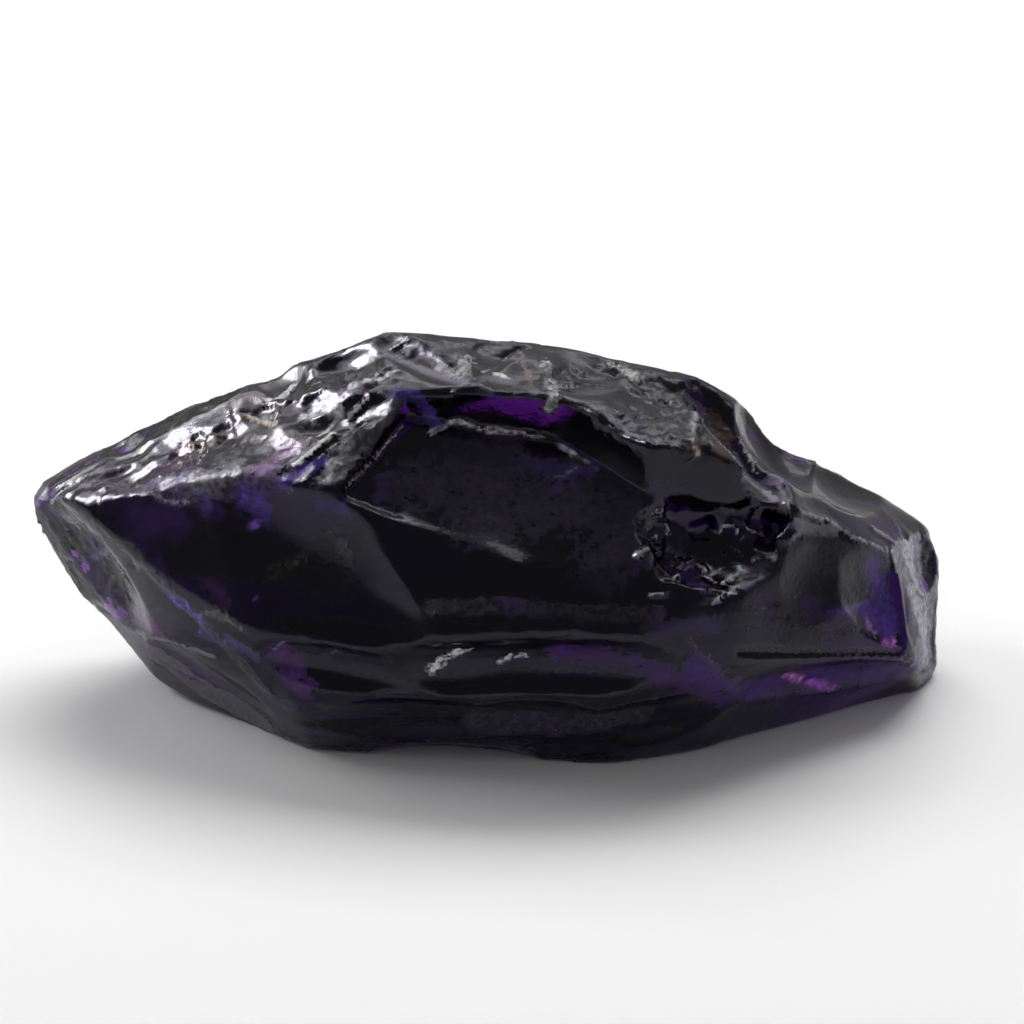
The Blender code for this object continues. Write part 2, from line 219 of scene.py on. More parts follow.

# ---------------------------------------------------------------- what is seen on the skin

# Each mark: (name, its path, its half width, its colour, how much it covers, how broken up it is,
# its roughness, how high its broken grain stands), in millimetres. Later marks lie over earlier ones.
# Many marks are painted light: painted highlights and glints, painted glow of light through the stone, a
# painted sheen, and painted shade in hollows and grooves, as said at each.
MARKS = [
    ("t1_base", [(-26, 0, 15.8), (-20, -1.5, 18), (-15, -2, 20), (-11, -2.5, 21.3)],
     4.2, (0.03, 0.026, 0.036), 0.9, 0.7, 0.2, 0.02),
    ("brow_dark", [(-27, -0.3, 15.3), (-24, -2, 16.2), (-21, -3.5, 17.1), (-17, -5.3, 18),
                   (-13.5, -6.5, 19)],
     1.3, (0.045, 0.04, 0.05), 0.95, 1.3, 1.0, 0.05),
    # painted light: a pale streak along the thin crest
    ("crest_streak", [(-27.8, 1.2, 15.3), (-23.8, 2, 16.9), (-20.4, 1.7, 19), (-16.7, 2.4, 20.8)],
     0.41, (0.6, 0.62, 0.66), 0.9, 0.5, 0.3, 0),
    ("brown_patch", [(-20.6, -2, 17.5), (-19.9, -0.3, 18.1), (-18.4, -0.6, 19.1)],
     1.62, (0.055, 0.025, 0.014), 0.95, 0.5, 0.3, 0.12),
    ("brown_lines", [(-20.2, -1.7, 17.6), (-19.4, 0.2, 18.8)],
     0.17, (0.75, 0.42, 0.2), 0.9, 0.3, 0.35, 0),
    ("sparkle_patch", [(-20.9, -3.1, 17.4), (-18.5, -4.5, 18.3), (-15.8, -5.5, 19.2),
                       (-16.9, -2.7, 18.9)],
     1.15, (0.1, 0.098, 0.11), 0.9, 1.0, 0.35, 0.05),
    ("lump_top", [(-16.5, 1.7, 20.8), (-15.3, 1.4, 21.1)],
     1.35, (0.26, 0.22, 0.24), 0.95, 0.1, 0.45, 0),
    ("lump_low", [(-16.5, -0.1, 20.2), (-14.6, -2.5, 20.2), (-12.8, -3.6, 20.7), (-12, -4.6, 20.8)],
     1.28, (0.13, 0.115, 0.12), 0.9, 0.2, 0.3, 0),
    # painted glow of light through the stone
    ("pink_face", [(-14.7, -5.9, 19.4), (-13.6, -5, 19.7), (-12.5, -4.8, 20.3)],
     0.95, (0.26, 0.13, 0.3), 0.9, 0.5, 0.3, 0.04),
    # scoop_white and scoop_line: painted highlights in the scoop, laid as pale frost
    ("scoop_white", [(-14.4, 1, 21.4), (-13.7, 1.4, 21.4), (-12.8, 2.4, 21.7)],
     0.47, (0.95, 0.94, 0.92), 1.0, 0.6, 0.4, 0),
    ("scoop_line", [(-15.8, 0.3, 20.5), (-14.7, -0.5, 20.4), (-13.7, -2.2, 20.9)],
     0.2, (0.95, 0.8, 0.65), 1.0, 0.6, 0.4, 0),
    # painted shade: a dark, sunk rim above the bright scoop
    ("scoop_rim", [(-15.1, 0.4, 20.7), (-12.9, -0.4, 21.7), (-11.7, 1.6, 22.4)],
     0.34, (0.012, 0.01, 0.014), 1.0, 0.1, 0.12, 0),
    # painted highlight along a raised arc
    ("arc_line", [(-12.1, -0.5, 21.8), (-11.2, 0.7, 22.4), (-11.5, 2.5, 22.8)],
     0.2, (0.85, 0.84, 0.82), 1.0, 0.6, 0.4, 0),
    # painted shade in a hollow
    ("dark_hollow", [(-10.7, 2.1, 22.5), (-9.5, -1.2, 22.7), (-10.3, -0.8, 22.3)],
     1.01, (0.02, 0.018, 0.03), 0.95, 0.4, 0.15, 0),
    # white_patch and white_rim: painted highlights, laid as pale frost
    ("white_patch", [(-11.9, -1.8, 21.3), (-10.6, -1.5, 21.7), (-9.7, -2.2, 21.8)],
     0.74, (0.7, 0.72, 0.76), 1.0, 0.8, 0.4, 0.05),
    ("white_rim", [(-11.5, -4.5, 21), (-10.7, -3.4, 20.8), (-9.8, -2.6, 21.4)],
     0.2, (0.98, 0.98, 0.98), 1.0, 0.3, 0.4, 0),
    # painted glow of light through the stone
    ("violet_edge", [(-12.9, -7.1, 19.1), (-11.8, -6.7, 19.6), (-10.5, -6.2, 20.2)],
     0.68, (0.095, 0.0475, 0.38), 0.95, 0.3, 0.1, 0),
    # painted highlight along a raised blade
    ("blade", [(-12, -6.1, 19.9), (-10.1, -4.7, 21.2), (-8.8, -2.5, 21.7), (-7.6, -2.3, 23)],
     0.27, (1, 1, 1), 1.0, 0.15, 0.35, 0),
    ("blade_gold", [(-10.8, -6, 20.2), (-9.1, -4.8, 21.3), (-7.5, -2.5, 22.4)],
     0.12, (0.4, 0.3, 0.2), 1.0, 0.4, 0.4, 0),
    ("block", [(-9.7, -7.1, 19.6), (-8.8, -5.8, 20.6), (-7.2, -4.4, 21.9), (-5.9, -3.5, 22.6)],
     1.28, (0.085, 0.085, 0.095), 0.95, 0.5, 0.3, 0.04),
    ("block_ledge", [(-10.5, -7.3, 19.5), (-9.4, -6.2, 20.4), (-8.8, -5.5, 21)],
     0.54, (0.32, 0.33, 0.34), 0.95, 1.0, 0.35, 0.12),
    # painted highlight along the block's raised edge
    ("block_edge", [(-9, -7.4, 18.9), (-7.5, -5.3, 19.7), (-5.6, -2.8, 21.1)],
     0.24, (0.55, 0.53, 0.45), 1.0, 0.8, 0.4, 0.03),
    # painted highlight: a white raised line
    ("block_line", [(-12.3, -7.2, 18.5), (-11.6, -7.2, 19.3), (-11, -6.5, 19.9)],
     0.17, (0.95, 0.95, 0.95), 1.0, 0.4, 0.4, 0),
    # painted glow of light through the stone
    ("magenta_dot", [(-7.9, -2, 23.1)], 0.3, (0.6, 0.12, 0.5), 0.9, 0.3, 0.2, 0),
    # painted glints
    ("glints", [(-8.6, -1.2, 23), (-7.2, -0.9, 23.7), (-6, -0.5, 24)],
     0.61, (0.62, 0.63, 0.68), 0.9, 1.2, 0.35, 0.1),
    ("lilac_ramp", [(-7.1, 1.6, 24.3), (-5.1, 0.5, 24.1), (-3.2, -0.9, 23.8), (-1.5, -2.2, 23.9)],
     0.54, (0.11, 0.09, 0.15), 0.95, 0.2, 0.25, 0),
    ("t2_face", [(-4.9, 1.9, 24.7), (-1.9, 1.3, 24.6), (1, 2.7, 24.2)],
     1.28, (0.04, 0.04, 0.045), 0.9, 1.0, 0.22, 0.07),
    # t2_streak and t2_sparkle: painted highlights, a white streak and grey sparkle
    ("t2_streak", [(-6.4, 2.1, 24.4), (-5.4, 2.6, 25)], 0.2, (0.85, 0.85, 0.84), 1.0, 0.3, 0.4, 0),
    ("t2_sparkle", [(-3.2, -0.1, 24.1), (-1.8, -1.2, 24.2), (-1.3, 0.6, 24.3)],
     0.68, (0.42, 0.42, 0.43), 0.9, 1.2, 0.35, 0.1),
    # painted shade in a sunk valley
    ("valley", [(-1, -1.9, 24), (0.7, 1.8, 24), (2.2, 2.5, 24.3)],
     0.41, (0.008, 0.007, 0.01), 1.0, 0.1, 0.1, 0),
    # painted highlight along a raised line in the valley
    ("valley_line", [(-0.5, -0.5, 23.9), (1.1, 1.3, 24), (2.1, 1.8, 24.2)],
     0.12, (0.6, 0.6, 0.6), 1.0, 0.5, 0.4, 0),
    ("t2_facet", [(-0.3, -1.6, 24), (0.8, -1.2, 23.6), (2, -1.7, 23.4), (3, -3, 23.6)],
     0.61, (0.08, 0.085, 0.1), 0.95, 0.3, 0.2, 0),
    # painted highlight
    ("t2_white", [(0.5, -0.7, 23.9), (1.2, -0.9, 23.6)],
     0.34, (0.95, 0.95, 0.95), 1.0, 0.7, 0.4, 0),
    ("rust", [(2.2, 0.9, 24.1), (2.5, -0.2, 23.6), (2.7, -2, 23.5)],
     0.34, (0.13, 0.055, 0.03), 0.9, 0.4, 0.4, 0),
    ("strip", [(3.6, 1, 23.9), (4.2, -3.8, 23.4), (3.9, -3.5, 22.5)],
     0.61, (0.45, 0.45, 0.46), 0.95, 1.3, 0.35, 0.12),
    ("t3", [(4.5, -0.6, 23.5), (8.5, 0.9, 22.9), (12.4, -0.5, 22), (12.6, -6, 21.6),
            (9.5, -4.4, 22.2)],
     2.29, (0.022, 0.021, 0.026), 0.9, 1.0, 0.22, 0.16),
    # painted sparkle highlights
    ("t3_sparkle", [(8, 2.4, 23.2), (9.7, 0.9, 23)], 0.54, (0.5, 0.5, 0.48), 0.9, 1.3, 0.35, 0.1),
    ("t3_low", [(6.9, -5.3, 22.3), (10.1, -6.9, 22), (12.6, -7, 21.2)],
     0.47, (0.12, 0.12, 0.14), 0.7, 1.2, 0.3, 0.1),
    ("rim_t4", [(13.5, 1.6, 21.6), (13, -3.7, 21.9), (12.7, -6.7, 21.5)],
     0.17, (0.42, 0.42, 0.44), 0.95, 0.6, 0.4, 0),
    ("copper", [(13, -6.8, 21.4), (13.2, -6.8, 20.8)], 0.3, (0.95, 0.68, 0.5), 1.0, 0.6, 0.4, 0),
    ("t4_brown", [(14.6, 0.7, 20.1), (15.4, -0.1, 19.2), (14.6, -5.9, 20.6)],
     0.95, (0.05, 0.026, 0.018), 0.95, 0.3, 0.2, 0.04),
    ("rim_t5", [(16.4, -0.2, 19), (17, -1.6, 18), (17.3, -2.3, 17.5)],
     0.2, (0.4, 0.39, 0.4), 0.95, 0.6, 0.4, 0),
    # painted highlight along the raised, grainy ledge
    ("ledge", [(-3.7, -3, 20.7), (-2.1, -2.2, 21.3), (-0.5, -2.3, 20.6), (2, -2.4, 20.5),
               (4.1, -2.8, 20.2)],
     0.34, (0.8, 0.8, 0.816), 0.95, 1.1, 0.35, 0.12),
    # painted glow of light through the stone
    ("over_violet", [(-6, -2.4, 23.4), (-4.4, -2.8, 23.1), (-3.6, -2.2, 21.4)],
     0.61, (0.095, 0.057, 0.38), 0.9, 0.35, 0.1, 0),
    ("right_ridge", [(16.1, -5.8, 18.8), (17.9, -3.8, 16.8), (19, -5.3, 16.2)],
     0.47, (0.22, 0.21, 0.24), 0.85, 0.8, 0.4, 0.03),
    ("light_facet", [(19.6, -5.9, 15.6), (20.9, -4.7, 14.6), (22.3, -3.6, 14.1)],
     0.74, (0.2, 0.195, 0.235), 0.95, 0.3, 0.45, 0),
    ("ridge_line", [(19, -5.3, 16.7), (20.2, -4.8, 15.9), (22, -3.3, 14.6), (23.6, -2.9, 13.3),
                    (26.1, -1.1, 11.4)],
     0.27, (0.42, 0.42, 0.48), 0.95, 0.8, 0.45, 0.03),
    ("t5_face", [(18.4, -2.8, 17.4), (20.1, -2.6, 16.5), (22.3, 0, 14.4)],
     0.88, (0.12, 0.105, 0.1), 0.9, 0.4, 0.35, 0),
    ("t6_dark", [(23.5, 2.7, 13.5), (25.2, 2.8, 12.7), (26.6, 2.3, 12.1)],
     0.81, (0.02, 0.015, 0.022), 0.9, 0.4, 0.2, 0),
    ("t6_line", [(25.2, -0.5, 12.7), (27, 0.5, 11)], 0.17, (0.42, 0.4, 0.45), 0.95, 0.5, 0.4, 0),
    ("end_base", [(28.2, 0.5, 9.5), (29.8, 3.5, 9), (30.3, 5, 5), (29.8, 2.5, 2), (28.6, -1.5, 3)],
     3.4, (0.5, 0.485, 0.6), 0.95, 0.6, 0.5, 0.03),
    ("end_face", [(28, 1.8, 10.2), (28.5, -0.1, 7.2), (29.3, -0.3, 3.4)],
     1.62, (0.85, 0.83, 0.95), 0.98, 0.6, 0.5, 0.03),
    ("end_vein_a", [(26.6, -0.4, 11), (27.1, -1.3, 8.6), (27.4, -3, 6.1), (27.9, -2.7, 3.8)],
     0.3, (0.95, 0.95, 0.98), 0.95, 0.6, 0.5, 0),
    ("end_vein_b", [(27.7, 0.6, 9.6), (28.6, 0.7, 7.6), (30, 3.1, 3.5)],
     0.27, (0.85, 0.85, 0.92), 0.9, 0.6, 0.5, 0),
    # end_violet_a and end_violet_b: painted glow of light through the stone, on the frosted end
    ("end_violet_a", [(29.7, 4.5, 8.6), (30, 3.9, 7.1)],
     0.54, (0.18, 0.14, 0.4), 0.8, 0.5, 0.45, 0),
    ("end_violet_b", [(28, -0.7, 7.6), (28.1, -1.6, 6.4)],
     0.47, (0.26, 0.24, 0.36), 0.8, 0.5, 0.45, 0),
    ("end_low", [(28.7, -1.3, 2.4), (30.4, 2.3, 1.3)], 0.54, (0.1, 0.08, 0.12), 0.9, 0.4, 0.4, 0),
    ("f4_base", [(17, -8, 13), (21, -5.3, 12.5), (25, -3, 10), (20, -7.7, 9.6)],
     3.2, (0.012, 0.01, 0.02), 0.95, 0.4, 0.4, 0),
    ("f4_grey", [(18.5, -7.3, 13.7), (22, -5, 12.6), (23.4, -4.4, 10.1)],
     1.35, (0.014, 0.012, 0.02), 0.8, 0.4, 0.4, 0),
    # f4_violet to f4_glow_b: painted glow of light through the stone
    ("f4_violet", [(25.1, -2.2, 10.8), (26, -2.4, 8.6), (26.4, -3.1, 7.1)],
     1.08, (0.1045, 0.0475, 0.38), 0.95, 0.35, 0.1, 0),
    ("f4_low", [(22, -6.5, 9), (24.9, -3.6, 8.3), (26.3, -3.7, 6.4)],
     1.01, (0.095, 0.038, 0.304), 0.9, 0.35, 0.1, 0),
    ("f4_glow_a", [(24.6, -4.4, 7.8), (25.2, -4.5, 7)],
     0.34, (0.608, 0.304, 0.95), 0.9, 0.35, 0.1, 0),
    ("f4_glow_b", [(25.9, -4.4, 6.2), (26.6, -3.8, 6)],
     0.34, (0.798, 0.247, 0.95), 0.95, 0.9, 0.1, 0),
    # painted shade: a dark line sunk into the crack under the overhang
    ("crack_dark", [(15.8, -11, 9.1), (19.9, -8.3, 7.6), (27, -3.9, 5.3)],
     0.17, (0.004, 0.003, 0.005), 1.0, 0.5, 0.1, 0),
    # low_violet to low_violet_b: painted glow of light through the stone
    ("low_violet", [(13.3, -11.7, 8.3), (16.8, -8.9, 5.2), (21.7, -5.4, 4.3), (27.7, -2.2, 2.9)],
     1.35, (0.09, 0.022, 0.3), 0.9, 0.35, 0.12, 0),
    ("low_glow_a", [(19.2, -7.4, 5.5), (20.3, -6.2, 4.5)],
     0.34, (0.95, 0.3192, 0.95), 0.95, 0.9, 0.1, 0),
    ("low_glow_b", [(20.8, -5.7, 4.1), (22.6, -4.8, 3.1)],
     0.34, (0.5928, 0.1482, 0.95), 0.95, 0.9, 0.1, 0),
    ("low_violet_b", [(4.5, -11.9, 9.7), (8.2, -11.9, 9.3), (12, -11.8, 7.5), (14.8, -10, 5.1)],
     1.08, (0.08, 0.016, 0.2), 0.85, 0.35, 0.12, 0),
    ("lilac_scuff", [(12.6, -12, 10.5), (14.2, -11.6, 8.4), (16.1, -9.7, 5.6)],
     0.41, (0.07, 0.06, 0.1), 0.8, 0.6, 0.3, 0),
    # pit_a to pit_h: painted glints on raised chips in the pit
    ("pit_a", [(10.1, -7.4, 17.2), (10.8, -7, 17.2), (11.3, -6.9, 15.6)],
     0.2, (0.9, 0.9, 0.92), 1.0, 1.0, 0.3, 0.12),
    ("pit_b", [(9.3, -10.8, 15.7), (9.9, -10.5, 16.3), (10.5, -7.7, 15.5)],
     0.24, (0.8, 0.8, 0.82), 1.0, 1.0, 0.3, 0.12),
    ("pit_c", [(12.3, -8, 13.9), (11.7, -10.6, 14.1), (10.9, -11.6, 13.7), (10, -11.7, 13.5)],
     0.17, (0.85, 0.84, 0.88), 1.0, 0.9, 0.3, 0.12),
    ("pit_d", [(13.4, -7.7, 13.5), (13.8, -8.6, 13.1), (14.7, -9.3, 12.9), (15.5, -8.1, 12.9)],
     0.27, (0.95, 0.95, 0.95), 1.0, 0.9, 0.3, 0.14),
    ("pit_e", [(14.2, -11, 12.6), (14.9, -10.4, 13), (15.7, -9.6, 12.9)],
     0.34, (0.6, 0.6, 0.6), 1.0, 1.2, 0.3, 0.14),
    ("pit_f", [(14.5, -6, 15.1), (15, -5.9, 15.6), (15.7, -5.9, 15.6), (16.1, -6, 14.7)],
     0.24, (0.9, 0.9, 0.9), 1.0, 1.1, 0.3, 0.14),
    ("pit_g", [(16.5, -5.7, 15.2), (17.5, -5.5, 14.7), (18.5, -5, 14.8)],
     0.17, (0.8, 0.8, 0.8), 1.0, 1.1, 0.3, 0.12),
    ("pit_h", [(16.8, -6.9, 13.4), (17.5, -6.6, 13.8), (18.2, -7.2, 13.8)],
     0.24, (0.55, 0.55, 0.57), 1.0, 1.0, 0.3, 0.12),
    # painted shade in the pit's hollow
    ("pit_dark", [(13.4, -6.6, 14.4), (16, -6.3, 14), (17.9, -6, 14.2)],
     1.49, (0.006, 0.005, 0.008), 0.9, 0.3, 0.1, 0.1),
    # painted glow of light through the stone
    ("pit_violet", [(12.7, -8.1, 13.7), (13.2, -10.5, 13.5), (11.8, -9, 13.9)],
     1.01, (0.0665, 0.0418, 0.1425), 0.85, 0.4, 0.14, 0.03),
    ("bead_white", [(15.8, -7.4, 13.1), (16, -7.8, 13)], 0.3, (0.62, 0.75, 0.9), 1.0, 0.1, 0.3, 0),
    ("bead_gold", [(15.9, -8.7, 12.9)], 0.24, (0.6, 0.4, 0.03), 1.0, 0.1, 0.3, 0),
    ("ring", [(10.5, -11.5, 6.1)], 0.27, (0.3, 0.27, 0.16), 0.9, 0.8, 0.4, 0.05),
    ("crumb_a", [(10.8, -11.8, 6.8)], 0.12, (0.7, 0.65, 0.4), 1.0, 0.1, 0.4, 0),
    ("crumb_b", [(12.7, -11.3, 6.7)], 0.12, (0.7, 0.7, 0.72), 1.0, 0.1, 0.4, 0),
    ("d1_base", [(-29.3, 2, 12.8), (-28.7, 3, 9.5), (-27.5, 3.6, 7), (-25, 1, 8.5), (-26, -1, 13)],
     2.6, (0.022, 0.022, 0.028), 1.0, 0.6, 0.5, 0.04),
    ("d1_face", [(-27.2, 0.6, 11.2), (-25.3, -0.7, 10.4), (-24.8, -0.3, 8.1)],
     2.6, (0.02, 0.02, 0.026), 0.95, 0.8, 0.5, 0.07),
    ("d1_blue", [(-29, 3.1, 9), (-26.7, 0.8, 9.8), (-25.1, -1.8, 11.6)],
     0.41, (0.05, 0.04, 0.13), 0.8, 0.7, 0.2, 0),
    ("d1_rim", [(-29.7, 1.9, 12.2), (-29.1, 2.6, 10), (-28.6, 3.5, 7.4)],
     0.37, (0.1, 0.1, 0.11), 0.95, 0.5, 0.45, 0.03),
    # painted shade in a sunk line
    ("d1_dark", [(-25.7, 0.3, 8.4), (-24.6, -1.2, 9.7), (-23.1, -4.2, 11.8)],
     0.34, (0.006, 0.005, 0.01), 0.95, 0.5, 0.1, 0.05),
    # painted highlight on the tip
    ("tip_white", [(-29, 0.8, 14.2), (-27.8, 0.6, 15.2), (-26.8, 0.9, 15.8)],
     0.34, (0.9, 0.9, 0.92), 1.0, 0.9, 0.35, 0.06),
    # painted glow of light through the stone
    ("tip_violet", [(-29.9, 1.7, 13.8), (-30.3, 2.2, 13.2)],
     0.24, (0.475, 0.285, 0.95), 0.9, 0.4, 0.2, 0),
    ("diag", [(-26.3, -2, 15.1), (-23.3, -4.2, 13.2), (-21.3, -5.6, 11.5), (-18.6, -7.2, 9.4),
              (-16, -8.6, 7.3), (-14.3, -9, 5.2)],
     0.74, (0.07, 0.078, 0.085), 0.9, 0.6, 0.35, 0.03),
    ("diag_scuff", [(-18.2, -7.6, 10.2), (-16.8, -8.7, 10.4), (-15.8, -9.5, 10)],
     0.47, (0.16, 0.15, 0.15), 0.8, 1.2, 0.35, 0.06),
    # diag_violet and diag_violet_b: painted glow of light through the stone
    ("diag_violet", [(-20.5, -5.9, 10.3), (-19.3, -6.8, 10), (-18.5, -7.3, 9.6)],
     0.47, (0.247, 0.152, 0.798), 0.85, 1.0, 0.2, 0),
    ("diag_violet_b", [(-18.7, -7, 8.4), (-16.6, -8.6, 8.7), (-14.9, -9.6, 8.1)],
     0.61, (0.133, 0.1045, 0.38), 0.85, 1.0, 0.2, 0),
    # magenta and magenta_low: painted glow of light through the stone
    ("magenta", [(-23.5, -1.5, 7), (-22.4, -3.5, 7.3), (-21.7, -4, 6.7)],
     0.68, (0.266, 0.057, 0.285), 0.95, 0.8, 0.12, 0),
    ("magenta_low", [(-22.9, -2.1, 5.7), (-21.9, -3.4, 6.1)],
     0.27, (0.4, 0.06, 0.3), 0.9, 0.9, 0.15, 0),
    ("d2_face", [(-25.8, 2.2, 4.2), (-22, -2, 4), (-18.5, -3.4, 1.9), (-15.1, -5.4, 0.7)],
     1.69, (0.221, 0.2236, 0.26), 0.95, 0.3, 0.45, 0),
    ("d2_rim", [(-26.7, 2.6, 5.2), (-24.4, -0.1, 5.1), (-21, -4.5, 6.5), (-17.8, -7.1, 6.8)],
     0.34, (0.28, 0.29, 0.31), 0.95, 0.5, 0.45, 0.02),
    # d2_pink and d2_pink_b: painted glow of light through the stone
    ("d2_pink", [(-23.6, -0.4, 3.9), (-22.4, -1.6, 3.9)],
     0.47, (0.22, 0.12, 0.27), 0.8, 0.7, 0.4, 0),
    ("d2_pink_b", [(-20.7, -2.6, 3.1), (-19.9, -2.9, 2.4)],
     0.47, (0.3, 0.12, 0.32), 0.9, 0.7, 0.4, 0),
    ("d2_dot", [(-20.1, -2.8, 2.6)], 0.17, (0.01, 0.004, 0.02), 1.0, 0.1, 0.2, 0),
    # painted shade in a sunk groove
    ("d2_groove", [(-22.1, -1.7, 3.5), (-20.8, -2.5, 3.1), (-19, -3.4, 2.7)],
     0.17, (0.03, 0.03, 0.04), 0.9, 0.6, 0.3, 0),
    # d2_violet and under_violet: painted glow of light through the stone
    ("d2_violet", [(-14.8, -7.7, 3.8), (-12.8, -9.6, 4.5)],
     0.61, (0.07, 0.055, 0.2), 0.8, 0.8, 0.3, 0),
    ("under_violet", [(-13.1, -9.8, 8.3), (-12.2, -10.2, 6.9), (-11.7, -10.5, 6.1)],
     1.2, (0.1556, 0.0432, 0.2766), 0.9, 0.35, 0.12, 0),
    ("under_line", [(-13.6, -9.8, 8.7), (-13, -10.3, 9.5)],
     0.14, (0.4, 0.35, 0.8), 0.9, 0.6, 0.2, 0),
    ("f1_base", [(-27, -0.8, 14.5), (-24, -3.2, 15), (-20, -5, 15.5), (-15, -7, 15)],
     2.6, (0.008, 0.006, 0.014), 0.95, 0.4, 0.12, 0),
    # f1_glow_a to f1_glow_f: painted glow of light through the stone
    ("f1_glow_a", [(-15.4, -6.1, 17.8), (-14.4, -6.5, 17)],
     1.08, (0.1045, 0.0418, 0.399), 0.95, 0.35, 0.08, 0),
    ("f1_glow_b", [(-18.5, -5.2, 17), (-17.5, -5.9, 16.7)],
     0.74, (0.057, 0.0266, 0.228), 0.9, 0.35, 0.08, 0),
    ("f1_glow_c", [(-15.1, -6.6, 15.8), (-14.7, -6.7, 16)],
     0.27, (0.418, 0.19, 0.95), 0.9, 0.8, 0.1, 0),
    ("f1_glow_d", [(-18.1, -7.2, 12.2), (-16.9, -8.2, 11.5)],
     0.81, (0.0665, 0.019, 0.114), 0.9, 0.35, 0.1, 0),
    ("f1_glow_e", [(-14.7, -8.8, 11.8)], 0.27, (0.171, 0.095, 0.57), 0.9, 0.6, 0.1, 0),
    ("f1_glow_f", [(-10.7, -7.8, 17.9), (-9.1, -8.5, 17.8)],
     0.74, (0.0475, 0.0266, 0.209), 0.9, 0.35, 0.08, 0),
    ("f1_dark", [(-21.2, -5.2, 13.4), (-17.1, -7.2, 13.7), (-13.3, -7.6, 13.9), (-9.4, -8.9, 13.1)],
     2.03, (0.006, 0.0055, 0.008), 0.85, 0.2, 0.1, 0),
    ("f1_scuff", [(-10, -8, 16.2), (-9.1, -8.5, 15.4), (-8.8, -8.8, 14.5)],
     0.74, (0.05, 0.055, 0.045), 0.8, 1.0, 0.3, 0.02),
    ("f1_scuff_b", [(-13.6, -7.9, 13.2), (-12, -7.8, 14)],
     0.68, (0.03, 0.03, 0.026), 0.8, 1.4, 0.3, 0.02),
    ("brow_nicks", [(-21.7, -3.4, 16.6), (-20.9, -4, 16.4), (-19.3, -4.8, 16.6)],
     0.27, (0.3, 0.3, 0.3), 0.9, 1.4, 0.35, 0.05),
    # f2_violet_a and f2_violet_b: painted glow of light through the stone
    ("f2_violet_a", [(-4, -2.5, 22.2), (-3.2, -2.4, 21)],
     0.54, (0.095, 0.057, 0.361), 0.9, 0.35, 0.1, 0),
    ("f2_violet_b", [(2.6, -4.4, 19.3), (4.5, -5.2, 19.1), (6.4, -5.4, 19.2)],
     0.88, (0.0532, 0.0304, 0.19), 0.9, 0.35, 0.12, 0),
    # painted sheen over the face's violet-grey tone
    ("f2_face", [(-5, -6.8, 18.8), (0.7, -4.5, 19.2), (-0.6, -8.3, 17), (4.5, -7.1, 17.8),
                 (8.2, -8.7, 17.2), (7.5, -11, 15.5)],
     2.8, (0.033, 0.027, 0.051), 0.8, 0.3, 0.12, 0),
    ("f2_scuff", [(3.5, -5.7, 18.6), (4.8, -5.5, 18.9), (5.8, -5, 19.3)],
     0.27, (0.09, 0.08, 0.12), 0.8, 1.3, 0.3, 0.02),
    ("f3_band", [(-3.7, -12, 12.8), (1.9, -12.6, 13.2), (6.9, -12.5, 12.6), (10.7, -12.1, 12.5)],
     0.9, (0.03, 0.028, 0.034), 0.85, 0.7, 0.3, 0.03),
    ("band_grey", [(10, -12.5, 11.6), (15.8, -10.5, 11.1), (24.2, -4.8, 8)],
     0.95, (0.022, 0.019, 0.03), 0.8, 0.4, 0.25, 0),
    # f5_hl_a and f5_hl_b: painted highlights on small facets in the recess
    ("f5_hl_a", [(-3.6, -11.6, 8.2), (-2.6, -11.8, 9.2), (-1.4, -12, 9.7)],
     0.55, (0.95, 0.95, 0.95), 1.0, 1.1, 0.3, 0.08),
    ("f5_hl_b", [(0.6, -11.5, 8.6), (1.6, -11.5, 9.1), (2.5, -11.6, 9.2)],
     0.3, (0.7, 0.69, 0.74), 1.0, 1.3, 0.3, 0.08),
    ("f5_nicks", [(-10.4, -10.1, 8.4), (-9.6, -10.5, 9)],
     0.34, (0.09, 0.09, 0.1), 0.8, 1.2, 0.3, 0.06),
    ("f6_face", [(-0.6, -10.6, 3.8), (4.5, -10.2, 3.6), (9.6, -10.2, 4.3)],
     1.62, (0.05, 0.045, 0.065), 0.8, 0.5, 0.3, 0.02),
    # painted glint along the bottom edge
    ("edge_glint", [(1.4, -9.9, 1.7), (3.3, -9.5, 1)],
     0.2, (0.12, 0.11, 0.14), 0.8, 1.0, 0.35, 0.03),
]
# marks with one of these in their name fade out softly, as light inside the stone does: the glow, violet,
# magenta and pink marks are painted glow of light through the stone, and f2_face is a painted sheen over
# the face's violet-grey tone
SOFT_MARKS = ("glow", "violet", "magenta", "pink", "f2_face")
SOFT_REACH = 1.5
LIFTS = {  # millimetres that the middle of a mark stands proud of the skin, or is sunk into it
    "blade": 0.16, "block_edge": 0.14, "block_line": 0.1, "arc_line": 0.14, "scoop_rim": -0.12,
    "valley": -0.22, "valley_line": 0.1, "t2_streak": 0.08, "rim_t4": 0.12, "rim_t5": 0.1,
    "ridge_line": 0.1, "crack_dark": -0.2, "d2_rim": 0.1, "d1_dark": -0.1, "d2_groove": -0.08,
    "t6_line": 0.1, "end_vein_a": 0.14, "end_vein_b": 0.14, "pit_a": 0.16, "pit_b": 0.14,
    "pit_c": 0.16, "pit_d": 0.14, "pit_h": 0.1, "bead_white": 0.3, "bead_gold": 0.2,
    "lump_top": 0.14, "crest_streak": 0.05, "ledge": 0.12, "ring": 0.08, "diag": 0.06,
    "d2_dot": -0.1,
}
